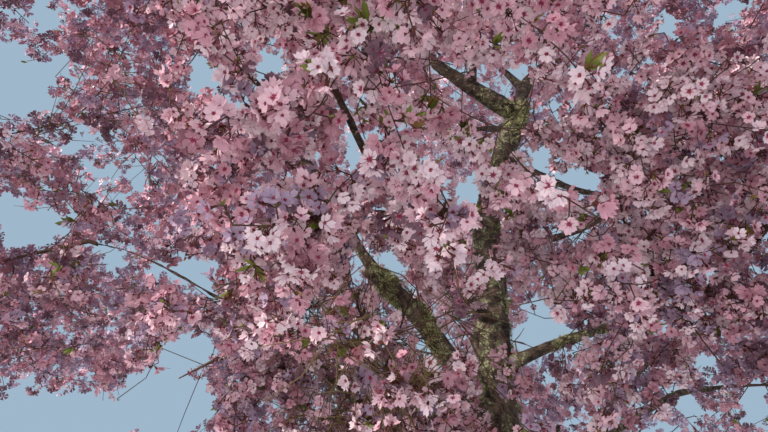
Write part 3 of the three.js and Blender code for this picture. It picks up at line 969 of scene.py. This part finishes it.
# twigs
twigSizes = {
    "steps": ((9, 7), (7, 4), (4, 3)),  # points along and sides, by level
    "kink": 0.008,  # of the twig's length
    "sides": 3,  # of spurs, bare twiglets and stalks
    "spurRadii": (0.0021, 0.0015),
    "bareRadii": (0.0022, 0.0017, 0.0011),
    "bareLength": (0.06, 0.2),
    "bareKink": 0.13,
    "bareAlong": 0.6,
    "bareScatter": 0.3,
    "stalkRadii": (0.0009, 0.0012),
}
twigHeap = Heap()
for level, (count, sides) in enumerate(twigSizes["steps"]):
    chosen = [twig for twigs in massTwigs for twig in twigs if twig["level"] == level]
    shares = np.linspace(0, 1, count)
    paths = np.array([[twigCurve(twig, s) for s in shares] for twig in chosen])
    lengths = np.linalg.norm(paths[:, -1] - paths[:, 0], axis=1)
    kinks = rng.normal(0, 1, paths.shape) * (lengths * twigSizes["kink"])[:, None, None]
    kinks[:, [0, -1]] = 0
    if level == 0:
        paths = np.concatenate([np.array([twig["root"] for twig in chosen])[:, None], paths], axis=1)
        shares = np.concatenate([[0], shares])
    else:
        paths = paths + kinks
    for twig, path in zip(chosen, paths):
        twig["path"] = path
    ends = np.array([(twig["base"], twig["end"]) for twig in chosen])
    radii = between(ends[:, :1], ends[:, 1:], shares)
    addTubes(twigHeap, paths, radii, sides, look["twigBark"])

# sprays along the twigs in four tiers: by depth where the photograph looks, and the rest
sprays = {
    "every": 0.032,  # metres along a twig
    "keep": (0.9, 0.84, 0.82, 0.36),  # shares, by tier
    "depths": (1.75, 3.0, 4.8),
    "viewEdge": 50,  # pixels round the frame that still count as seen
    "spur": (0.010, 0.038),
    "stalk": (0.014, 0.030),
    "flowers": ((4, 8), (4, 8), (4, 7), (4, 6)),
    "radius": (0.0198, 0.0215, 0.0245, 0.036),
    "farSpread": 1.7,  # how much longer the last tier's spurs and stalks are
    "buds": (0.12, 0.08, 0.04, 0.03),
    "leaves": (0.07, 0.06, 0.05, 0.03),
    "stalks": (1.0, 0.2, 0.0, 0.0),  # share of the flowers whose stalk is drawn
    "limbRoom": 0.03,
    "clusterSize": 0.03,
    "flowerRoom": 0.5,  # share of a flower's radius kept off the limbs that show
    "sizes": (0.84, 1.14),
    "lifts": (0.5, 1.5),  # how deep or flat a flower opens
    "budShape": (0.42, 1.4),  # radius beside a flower's, and length beside that
    "firstOnStem": 0.2,
    "firstOnTwig": 0.12,
    "bareBelow": 0.7,  # where fewer are kept, bare twiglets stand in their place
    "bareEach": 2,
}
rest = len(sprays["depths"])
# where more twig than blossom shows: column, row, half width, half height and the share of sprays kept
thinSpots = {
    "besideMossy": (345, 330, 50, 45, 0.36),
    "underMossy": (385, 385, 45, 45, 0.48),
    "lowMiddle": (345, 402, 58, 32, 0.5),
    "besideStub": (455, 320, 20, 40, 0.5),
    "besideLeader": (538, 330, 38, 36, 0.5),
    "leftTwigs": (95, 175, 95, 130, 0.8),
}
thinDepth = 3.1  # what stands deeper isn't thinned
# young leaves that the photograph shows: column, row, half width and half height
leafSpots = {
    "topLeft": (328, 8, 24, 24),
    "topMiddle": (381, 22, 16, 16),
    "middle": (416, 123, 24, 24),
    "rightOfMiddle": (464, 137, 24, 24),
    "low": (432, 368, 14, 14),
    "leftOfMiddle": (345, 180, 8, 8),
    "right": (640, 75, 8, 8),
}

spots, aims, massOf = [], [], []
for m, twigs in enumerate(massTwigs):
    for twig in twigs:
        path = twig["path"]
        length = np.sum(np.linalg.norm(np.diff(path, axis=0), axis=1))
        first = sprays["firstOnTwig"] if twig["level"] else sprays["firstOnStem"]
        count = int(length * (1 - first) / sprays["every"])
        for share in np.linspace(first, 1, count + 1):
            spots.append(along(path, share))
            aims.append(path[-1] - path[0])
            massOf.append(m)
spots, aims, massOf = np.array(spots), unit(np.array(aims)), np.array(massOf)
twice = closesUp(spots)
spots, aims, massOf = [np.concatenate([values, values[twice]]) for values in (spots, aims, massOf)]
column, row, depth = toPixels(spots)
edge = sprays["viewEdge"] + 2 * sprays["clusterSize"] * pixelsPerUnit / np.maximum(depth, leastAway)
tier = np.where(inPicture(spots, edge), np.searchsorted(sprays["depths"], depth), rest)
kept = np.array(sprays["keep"])[tier]
for *spot, share in thinSpots.values():
    thinned = insideSpots([spot], column, row) & (depth < thinDepth)
    kept = np.where(thinned, share * kept, kept)
keep = rng.random(len(spots)) < kept
bare = (tier < rest) & ~keep & (kept < sprays["bareBelow"])
room = ~openSky(spots) & ~beforeLimb(spots, sprays["clusterSize"]) & ~tooNear(spots)
room &= clearOfLimbs(spots) > sprays["limbRoom"]
lowEdge, highEdge = cadLow - growth["edge"], cadHigh + growth["edge"]
room &= np.all(spots > lowEdge, axis=1) & np.all(spots < highEdge, axis=1)
keep &= room
bare &= room
bareSpots, bareAims = [np.repeat(values[bare], sprays["bareEach"], axis=0) for values in (spots, aims)]
spots, aims, massOf, tier = [values[keep] for values in (spots, aims, massOf, tier)]
column, row, depth = toPixels(spots)
print("sprays:", len(spots), "by tier", np.bincount(tier))

flowerSizes = {
    "waves": ((2.3, 9), (3.1, 7), (4.7, 5)),  # of lift, sway and twist, by petal and by ruffle
    "twistStart": 0.7,
    "leastSway": 0.12,
    "nearEye": (0.045, 0.11),  # heights of the middle and the rim
    "farEye": (0.7, 0.09),  # least share of the eye's size that is drawn, and height
    "eyeTurn": 2.7,  # half of what an eye's sides span together
    "third": 2.1,  # about a third of a turn
    "streak": [(0.12, -0.15, 0.055), (0.12, 0.15, 0.055), (0.6, 0, 0.15)],
    "calyx": (0.2, -0.62),  # radius and foot
    "farCalyx": [(0.24, 0.1, 0), (-0.24, 0.1, 0), (0, -0.12, -0.62)],
    "shut": 0.45,  # how far a cupped flower draws in
}


def fiveTurns(points, tris, ruffle):  # one petal five times round, each turn lifted, swayed and twisted
    places, faces = [], []
    least = flowerSizes["leastSway"]
    for k in range(5):
        c, s = math.cos(2 * math.pi * k / 5), math.sin(2 * math.pi * k / 5)
        lift, sway, twist = [byPetal * k + byRuffle * ruffle for byPetal, byRuffle in flowerSizes["waves"]]
        lift, sway = ruffle * math.sin(lift), least * math.cos(sway)
        twist = (least + ruffle) * math.sin(twist + flowerSizes["twistStart"])
        faces += [tuple(a + len(places) for a in tri) for tri in tris]
        for x, y, z in points:
            across = y + sway * x
            places.append((x * c - across * s, x * s + across * c, z + lift * x + twist * y))
    return places, faces


petalShapes = [  # outline and faces of one petal, by tier
    ([(0.04, 0, 0), (0.55, -0.4, 0.19), (0.93, -0.25, 0.26), (0.84, 0, 0.16), (0.93, 0.25, 0.26),
      (0.55, 0.4, 0.19)], [(0, 1, 2), (0, 2, 3), (0, 3, 4), (0, 4, 5)]),
    ([(0.04, 0, 0), (0.7, -0.42, 0.22), (1.0, 0, 0.16), (0.7, 0.42, 0.22)], [(0, 1, 2), (0, 2, 3)]),
    ([(0.02, 0, 0), (0.95, -0.43, 0.2), (0.95, 0.43, 0.2)], [(0, 1, 2)]),
    ([(0.02, 0, 0), (0.92, -0.46, 0.17), (0.92, 0.46, 0.17)], [(0, 1, 2)]),
]
eyeSizes = ((5, 0.3), (3, 0.24), (1, 0.2), (0, 0))  # sides and reach, by tier
openings = [  # ruffle, cup, size of the eye and whether the petals are flushed
    (0.1, 0.1, 1.0, True),
    (0.18, 0.25, 0.8, False),
    (0.26, 0.5, 0.0, False),
    (0.14, 0.2, 0.65, False),
]


def ringOf(turns, reach, height):
    return [(reach * math.cos(turn), reach * math.sin(turn), height) for turn in turns]


def flowerShape(level, ruffle, cup, eyeShare, flushed):  # radius 1, opening along z
    parts = [(*fiveTurns(*petalShapes[level], ruffle), -1)]
    sides, reach = eyeSizes[level]
    reach *= eyeShare
    face = [(0, 1, 2)]
    middle, edge = flowerSizes["nearEye"]
    least, height = flowerSizes["farEye"]
    thirds = [flowerSizes["third"] * k for k in range(3)]
    if sides == 1 and eyeShare > least:
        parts.append((ringOf(thirds, reach, height), face, look["eyeCrimson"]))
    for k in range(sides if sides > 1 and eyeShare > 0 else 0):
        turn, half = 2 * math.pi * k / sides, flowerSizes["eyeTurn"] / sides
        rim = ringOf((turn - half, turn + half), reach, edge)
        parts.append(([(0, 0, middle)] + rim, face, look["eyeCrimson"]))
    if level == 0 and flushed:
        parts.append((*fiveTurns(flowerSizes["streak"], face, ruffle), look["flush"]))
    if level == 0:
        radius, foot = flowerSizes["calyx"]
        cone = ringOf(thirds, radius, 0) + [(0, 0, foot)]
        parts.append((cone, [(0, 3, 1), (1, 3, 2), (2, 3, 0)], look["calyxRed"]))
    if level == 1:
        parts.append((flowerSizes["farCalyx"], face, look["calyxRed"]))
    places, faces, looks = [], [], []
    for points, tris, finish in parts:
        faces += [tuple(a + len(places) for a in tri) for tri in tris]
        looks += [finish] * len(tris)
        places += points
    cupped = []
    for x, y, z in places:  # a half-open flower closes towards its axis
        out = math.hypot(x, y)
        shut = 1 - flowerSizes["shut"] * cup * out
        cupped.append((x * shut, y * shut, z + cup * out * out))
    return (np.array(cupped), np.array(faces)), np.array(looks)


# corners and faces of a bud, a young leaf and a bud scale
budShape = (np.array([(0, 0, -0.3), (0.32, 0, 0.3), (-0.16, 0.28, 0.3), (-0.16, -0.28, 0.3), (0, 0, 1.1)]),
            np.array([(0, 2, 1), (0, 3, 2), (0, 1, 3), (4, 1, 2), (4, 2, 3), (4, 3, 1)]))
leafShape = (np.array([(0, 0, 0), (0.18, 0.07, 0.35), (-0.18, 0.07, 0.35), (0, 0, 0.4),
                       (0.13, 0.11, 0.75), (-0.13, 0.11, 0.75), (0, 0.12, 1.0)]),
             np.array([(0, 1, 3), (0, 3, 2), (3, 1, 4), (2, 3, 5), (3, 4, 6), (3, 6, 5)]))
scaleShape = (np.array([(0, 0, 0), (0.3, 0.1, 0.5), (-0.3, 0.1, 0.5), (0, 0.25, 1.0)]),
              np.array([(0, 1, 2), (1, 3, 2)]))
blossomHeaps = [Heap() for _ in massTable]
budHeap, leafHeap, scaleHeap, stalkHeap = Heap(), Heap(), Heap(), Heap()
down = np.array([0, 0, -1.0])
anyTurn = 6.28  # turns are drawn up to this


def scatter(count):
    return unit(rng.normal(0, 1, (count, 3)))


def aside(directions, turns):  # directions square to the given ones
    side, up = basisFor(directions, np.zeros(len(directions)))
    return side * np.cos(turns)[:, None] + up * np.sin(turns)[:, None]


# where small things point, as shares of the directions named
lean = {
    "turnSpread": 0.3,
    "spray": (0.25, 0.2),  # forwards, down
    "flower": (0.7, 0.95, 0.42),  # sideways, scattered, down
    "face": (0.5, 0.2),  # scattered, down
    "leaf": (0.6, 0.7, 0.8),  # sideways, scattered, outwards
    "scale": 0.7,  # scattered
    "lichen": 0.3,  # scattered
}
goldenTurn = math.pi * (3 - math.sqrt(5))
turns = np.arange(len(spots)) * goldenTurn + rng.normal(0, lean["turnSpread"], len(spots))
forward, drop = lean["spray"]
asideOf = unit(aside(aims, turns) + forward * aims + drop * down)
spurLength = rng.uniform(*sprays["spur"], len(spots)) * np.where(tier == rest, sprays["farSpread"], 1.0)
spurTips = spots + asideOf * spurLength[:, None]
withSpur = tier < 2
spurPaths = np.stack([spots[withSpur], spurTips[withSpur]], axis=1)
spurRadii = np.tile(twigSizes["spurRadii"], (len(spurPaths), 1))
addTubes(twigHeap, spurPaths, spurRadii, twigSizes["sides"], look["twigBark"])

# bare twiglets
count = len(bareSpots)
outward = aside(bareAims, rng.uniform(0, 2 * math.pi, count))
bareAims = unit(outward + twigSizes["bareAlong"] * bareAims + twigSizes["bareScatter"] * scatter(count))
bareLength = rng.uniform(*twigSizes["bareLength"], (count, 1))
bareRuns = bareAims * bareLength
bareMiddle = bareSpots + bareRuns * 0.5 + scatter(count) * bareLength * twigSizes["bareKink"]
bareTips = bareSpots + bareRuns
shut = ~openSky(bareTips) & ~openSky(bareMiddle)
barePaths = np.stack([bareSpots, bareMiddle, bareTips], axis=1)[shut]
bareRadii = np.tile(twigSizes["bareRadii"], (len(barePaths), 1))
addTubes(twigHeap, barePaths, bareRadii, twigSizes["sides"], look["twigOlive"])

# painted light and shade: by their place in the crown, sprays where shade falls are dealt deeper, mauve
# and shade tints, and sprays where the light falls paler ones; chance draws each tint with these shares
tint = {
    "even": 0.6,
    "middle": (-0.3, 0.75, 0.72),  # painted light: where the palest sprays stand across the crown, how far, how much
    "front": (-1.2, 0.13),  # painted shade: from where the crown darkens towards the back, and how fast
    "under": (2.75, 0.6, 0.35),  # painted shade: below this height the crown darkens, over what height, how much
    # shares of the palest, pale, mid, deep, mauve and shade tints where the painted light is least, and
    # how each changes as it grows
    "mix": ((0.03, 0.45), (0.10, 0.30), (0.20, -0.06), (0.20, -0.16), (0.29, -0.285), (0.18, -0.16)),
}
# painted light and shade: how lit each spray's place is, which sets how pale a tint it is dealt
middle, reach, slope = tint["middle"]
middleLight = slope * (reach - np.abs(spots[:, 0] - middle))
under, fade, slope = tint["under"]
underShade = slope * np.clip((under - spots[:, 2]) / fade, 0, 1)
front, slope = tint["front"]
paintedLightShare = np.clip(tint["even"] + middleLight - slope * (spots[:, 1] - front) - underShade, 0, 1)
tintShares = np.stack([start + change * paintedLightShare for start, change in tint["mix"]], axis=1)
tintSteps = np.cumsum(tintShares / tintShares.sum(axis=1, keepdims=True), axis=1)
tints = np.minimum(len(tint["mix"]) - 1, np.sum(rng.random(len(spots))[:, None] > tintSteps, axis=1))

for level in range(rest + 1):
    picked = np.where(tier == level)[0]
    shapes = [flowerShape(level, *opening) for opening in openings]
    fewest, most = sprays["flowers"][level]
    perSpray = rng.integers(fewest, most + 1, len(picked))
    owner = np.repeat(picked, perSpray)
    sideways, spreading, drop = lean["flower"]
    away = unit(asideOf[owner] * sideways + scatter(len(owner)) * spreading + down * drop)
    stalk = rng.uniform(*sprays["stalk"], len(owner)) * (sprays["farSpread"] if level == rest else 1.0)
    ends = spurTips[owner] + away * stalk[:, None]
    size = sprays["flowerRoom"] * sprays["radius"][level]
    fits = ~openSky(ends) & ~beforeLimb(ends, size) & ~tooNear(ends)
    owner, away, ends = owner[fits], away[fits], ends[fits]
    n = len(owner)
    isBud = rng.random(n) < sprays["buds"][level]
    spreading, drop = lean["face"]
    facing = unit(away + scatter(n) * spreading + down * drop)
    radius = sprays["radius"][level] * rng.uniform(*sprays["sizes"], n)
    lift = rng.uniform(*sprays["lifts"], n)
    spin = rng.uniform(0, 2 * math.pi, n)
    centre = ends + facing * (radius * 0.5)[:, None]
    kind = rng.integers(0, len(shapes), n)
    for m in range(len(massTable)):
        for v, (shape, looks) in enumerate(shapes):
            mine = (massOf[owner] == m) & ~isBud & (kind == v)
            faceLooks = np.where(looks[None] < 0, tints[owner[mine]][:, None], looks[None])
            placeCopies(blossomHeaps[m], shape, faceLooks, centre[mine], facing[mine], spin[mine],
                        radius[mine], lift[mine])
    wide, long = sprays["budShape"]
    budSize = radius[isBud] * wide
    placeCopies(budHeap, budShape, look["budPink"], ends[isBud], away[isBud], spin[isBud], budSize, long)
    stalked = rng.random(n) < sprays["stalks"][level]
    if stalked.any():
        lines = np.stack([spurTips[owner], ends], axis=1)[stalked]
        stalkRadii = np.tile(twigSizes["stalkRadii"], (len(lines), 1))
        addTubes(stalkHeap, lines, stalkRadii, twigSizes["sides"], look["stalkBrown"])


def chooseLooks(shares, n):  # finishes by name, each with its share
    return rng.choice([look[name] for name in shares], n, p=list(shares.values()))


# young leaves and, where the near sprays open, bud scales
leafSizes = {
    "shown": 0.95,  # share of the sprays in a leaf spot that have leaves
    "perSpray": (4, 7),
    "shownTimes": 2,
    "crownMiddle": (0, 0, 3.6),
    "olive": 0.75,
    "length": (0.022, 0.055),
    "farLength": 1.4,
    "scales": 3,
    "scaleLength": (0.008, 0.016),
    "scaleLooks": {"leafBronze": 0.4, "leafOlive": 0.3, "calyxRed": 0.3},
}
inLeaf = insideSpots(leafSpots.values(), column, row) & (depth < fullDepth) & (depth > 0)
leafChance = np.where(inLeaf, leafSizes["shown"], np.array(sprays["leaves"])[tier])
leafy = np.where(rng.random(len(spots)) < leafChance)[0]
times = np.where(inLeaf[leafy], leafSizes["shownTimes"], 1)
owner = np.repeat(leafy, rng.integers(*leafSizes["perSpray"], len(leafy)) * times)
n = len(owner)
outOfCrown = unit(spots[owner] - np.array(leafSizes["crownMiddle"]))
sideways, spreading, outwards = lean["leaf"]
leafAway = unit(asideOf[owner] * sideways + scatter(n) * spreading + outOfCrown * outwards)
leafLook = np.where(rng.random(n) < leafSizes["olive"], look["leafOlive"], look["leafBronze"])
longer = np.where(tier[owner] == rest, leafSizes["farLength"], 1.0)
leafLength = rng.uniform(*leafSizes["length"], n) * longer
leafSpin = rng.uniform(0, anyTurn, n)
placeCopies(leafHeap, leafShape, leafLook[:, None], spurTips[owner], leafAway, leafSpin, leafLength)

owner = np.repeat(np.where(withSpur)[0], leafSizes["scales"])
n = len(owner)
scaleAway = unit(asideOf[owner] + scatter(n) * lean["scale"])
scaleLook = chooseLooks(leafSizes["scaleLooks"], n)
scaleSpin = rng.uniform(0, anyTurn, n)
scaleLength = rng.uniform(*leafSizes["scaleLength"], n)
placeCopies(scaleHeap, scaleShape, scaleLook[:, None], spurTips[owner], scaleAway, scaleSpin, scaleLength)

twigHeap.piece("twigs", "blossom")
for m, name in enumerate(massNames):
    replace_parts(blossomHeaps[m].piece(name + "_sprays", "blossom"), name)
budHeap.piece("buds", "blossom")
leafHeap.piece("young_leaves", "blossom", smooth=False)
scaleHeap.piece("bud_scales", "blossom", smooth=False)
stalkHeap.piece("flower_stalks", "blossom")

# lichen tufts on the older bark: count, from, to and largest size
lichenLimbs = {
    "leader": (3400, 0.12, 1.0, 0.034),
    "bough_mossy": (2600, 0.1, 1.0, 0.036),
    "bough_right_mid": (500, 0.04, 0.6, 0.026),
    "trunk": (900, 0.25, 1.0, 0.028),
    "fork_left": (1100, 0.0, 1.0, 0.032),
    "fork_right": (600, 0.0, 0.9, 0.03),
    "bough_left_low": (350, 0.05, 0.6, 0.02),
    "bough_right_low": (350, 0.05, 0.8, 0.022),
    "bough_front": (120, 0.0, 0.5, 0.016),
    "sawn_stub": (90, 0.1, 1.0, 0.018),
}
lichen = {
    "blades": 7,
    "reaches": (0.95, 0.5),  # of every other blade, beside its length
    "foot": (0.14, -0.15),  # half width and depth of a blade's foot
    "bend": 0.45,
    "step": 0.02,  # share of the limb to either side that gives its direction
    "inside": 0.985,  # share of the limb's radius at which a tuft stands
    "waves": (29, 25, 14),  # of the patches, along each axis
    "above": -0.1,  # tufts stand where the waves pass this
    "sizes": (0.3, 0.7),  # least, and what chance adds
    "patchSizes": (0.5, 0.4, 0.4),  # even, what the waves add, and least
    "looks": {"lichenDark": 0.22, "lichenGreen": 0.43, "lichenPale": 0.35},
}


def tuftOf(blades):
    wide, foot = lichen["foot"]
    places, faces = [], []
    for k in range(blades):
        turn = 2 * math.pi * k / blades
        reach = lichen["reaches"][k % 2]
        places += ringOf((turn - 1, turn + 1), wide, foot)
        places += ringOf((turn,), reach, 1.0 - lichen["bend"] * reach)
        faces.append((3 * k, 3 * k + 1, 3 * k + 2))
    return np.array(places), np.array(faces)


lichenHeap = Heap()
tuft = tuftOf(lichen["blades"])
for name, (count, low, high, largest) in lichenLimbs.items():
    limb = limbs[name]
    points, step = limb["points"], lichen["step"]
    shares = rng.uniform(low, high, count)
    axis = np.array([along(points, s) for s in shares])
    runs = [along(points, min(1, s + step)) - along(points, max(0, s - step)) for s in shares]
    ahead = unit(np.array(runs))
    outward = aside(ahead, rng.uniform(0, 2 * math.pi, count))
    radius = np.array([limbRadius(limb, s) for s in shares])
    places = axis + outward * (radius * lichen["inside"])[:, None]
    patch = sum(np.sin(places[:, i] * wave + i) for i, wave in enumerate(lichen["waves"]))
    grown = patch > lichen["above"]
    least, more = lichen["sizes"]
    even, slope, smallest = lichen["patchSizes"]
    size = largest * (least + more * rng.random(count)) * np.clip(even + slope * patch, smallest, 1)
    finish = chooseLooks(lichen["looks"], count)[grown]
    facing = unit(outward + scatter(count) * lean["lichen"])[grown]
    spin = rng.uniform(0, anyTurn, grown.sum())
    placeCopies(lichenHeap, tuft, finish[:, None], places[grown], facing, spin, size[grown])
lichenHeap.piece("lichen_tufts", "mossy_bark", smooth=False)

# stage, light and camera
studio = {
    "floorSize": 120.0,
    "floorLevel": -0.001,
    "floorColour": (0.72, 0.72, 0.71),
    "floorRoughness": 0.9,
    "sky": (0.58, 0.79, 1.0),
    "lampColour": (1.0, 0.95, 0.88),
    "skyStrength": 0.60,
    "lampDistance": 20,
    "lamps": {  # direction that the light comes from, strength and softness in degrees
        "key": ((-0.7, -0.62, 0.4), 5.6, 14.0),
        "fill": ((0.8, -0.5, 0.25), 0.35, 60.0),
    },
}
selectOnly()
bpy.ops.mesh.primitive_plane_add(size=studio["floorSize"], location=(0, 0, studio["floorLevel"]))
floor = bpy.context.object
floor.name = "floor"
floor.data.materials.append(plainFinish("floorPale", studio["floorColour"], studio["floorRoughness"]))

world = bpy.data.worlds.new("studio")
world.use_nodes = True
sky = world.node_tree.nodes["Background"].inputs
sky["Color"].default_value = (*studio["sky"], 1)
sky["Strength"].default_value = studio["skyStrength"]
bpy.context.scene.world = world

for name, (direction, strength, softness) in studio["lamps"].items():
    data = bpy.data.lights.new(name, "SUN")
    data.energy = strength
    data.color = studio["lampColour"]
    data.angle = math.radians(softness)
    lamp = bpy.data.objects.new(name, data)
    lamp.location = Vector(direction) * studio["lampDistance"]
    lamp.rotation_euler = (-Vector(direction)).to_track_quat("-Z", "Y").to_euler()
    bpy.context.scene.collection.objects.link(lamp)

lens = bpy.data.cameras.new("camera")
lens.lens = camera["lens"]
lens.sensor_width = camera["sensor"]
lens.clip_start, lens.clip_end = camera["clip"]
view = bpy.data.objects.new("camera", lens)
view.location = camera["eye"]
view.rotation_euler = (math.radians(90 + camera["pitch"]), 0, 0)
bpy.context.scene.collection.objects.link(view)
bpy.context.scene.camera = view
bpy.context.scene.view_settings.view_transform = "Standard"
